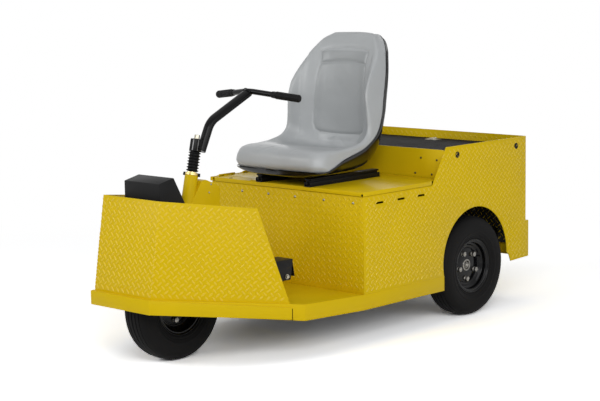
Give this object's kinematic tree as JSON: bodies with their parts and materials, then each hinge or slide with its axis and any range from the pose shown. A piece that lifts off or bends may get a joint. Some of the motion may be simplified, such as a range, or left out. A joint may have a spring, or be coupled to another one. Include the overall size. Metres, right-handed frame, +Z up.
{
  "type": "electric tow tractor",
  "caption": "Three-wheeled electric tow tractor with tiller steering, a bucket seat on a hinged box, a low step-through foot well, a folded front shield and a matted rear cargo deck.",
  "frame": {"origin": "on the floor, under the middle of the whole vehicle", "axes": "+X forward, +Y to the vehicle's left, +Z up"},
  "size_m": [2.024, 0.84, 1.1829],
  "materials": {
    "yellow_tread_plate": "gloss yellow enamel on raised tread plate",
    "yellow_paint": "gloss yellow enamel on smooth sheet",
    "black_powder": "satin black powder coat",
    "rim_black": "gloss black enamel",
    "zinc_steel": "bright zinc plate",
    "tyre": "matt black tyre rubber",
    "black_rubber": "matt black rubber",
    "seat_vinyl": "soft grey vinyl",
    "shell_plastic": "gloss black moulded plastic",
    "motor_case": "black painted motor housing",
    "battery_case": "black battery cases"
  },
  "bodies": {
    "chassis": {"accelerator_pedal": "black_powder", "axle_seats": "black_powder", "battery_pack": "battery_case", "bearing_flange": "zinc_steel", "brake_pedal": "black_powder", "bumper_strip": "yellow_paint", "column_pedestal": "yellow_paint", "deck_ledges": "black_powder", "drive_motor": "motor_case", "floor_pan": "yellow_paint", "front_panel": "yellow_tread_plate", "front_shield": "yellow_tread_plate", "head_tube": "yellow_paint", "instrument_pod": "black_powder", "left_frame_rail": "black_powder", "left_side_panel": "yellow_tread_plate", "lid_hinge_strip": "yellow_paint", "rear_axle": "black_powder", "rear_bumper": "yellow_paint", "rear_panel": "yellow_tread_plate", "right_frame_rail": "black_powder", "right_side_panel": "yellow_tread_plate", "seat_wall": "yellow_tread_plate", "side_buttons": "black_rubber", "tow_hitch": "black_powder", "wheel_well": "yellow_paint"},
    "steering": {"steering_shaft": "zinc_steel", "front_fork": "black_powder", "front_axle": "zinc_steel", "column_boot": "black_rubber", "tiller_clevis": "black_powder", "clevis_bolt": "zinc_steel", "tiller_bar": "black_powder", "tiller_grips": "black_rubber"},
    "front_wheel": {"front_tyre": "tyre", "front_rim": "rim_black", "front_hub": "zinc_steel"},
    "rear_left_wheel": {"rear_left_tyre": "tyre", "rear_left_rim": "rim_black", "rear_left_hub": "zinc_steel"},
    "rear_right_wheel": {"rear_right_tyre": "tyre", "rear_right_rim": "rim_black", "rear_right_hub": "zinc_steel"},
    "seat_deck": {"seat_lid": "yellow_paint", "seat_rails": "black_powder", "seat_shell": "shell_plastic", "seat_cushion": "seat_vinyl"},
    "cargo_deck": {"deck_plate": "black_powder", "deck_mat": "black_rubber"}
  },
  "joints": [
    {"name": "steer", "type": "hinge", "parent": "chassis", "child": "steering", "pos_m": [0.75, 0, 0.2075], "axis": [-0.2284, 0, 0.9736], "range_deg": [-45, 45]},
    {"name": "front_wheel_spin", "type": "hinge", "parent": "steering", "child": "front_wheel", "pos_m": [0.75, 0, 0.2075], "axis": [0, 1, 0], "continuous": true},
    {"name": "rear_left_wheel_spin", "type": "hinge", "parent": "chassis", "child": "rear_left_wheel", "pos_m": [-0.578, 0.352, 0.2075], "axis": [0, 1, 0], "continuous": true},
    {"name": "rear_right_wheel_spin", "type": "hinge", "parent": "chassis", "child": "rear_right_wheel", "pos_m": [-0.578, -0.352, 0.2075], "axis": [0, 1, 0], "continuous": true},
    {"name": "seat_deck_hinge", "type": "hinge", "parent": "chassis", "child": "seat_deck", "pos_m": [-0.078, -0.4, 0.599], "axis": [1, 0, 0], "range_deg": [0, 75]},
    {"name": "cargo_deck_hinge", "type": "hinge", "parent": "chassis", "child": "cargo_deck", "pos_m": [-0.374, 0, 0.688], "axis": [0, 1, 0], "range_deg": [0, 70]}
  ]
}
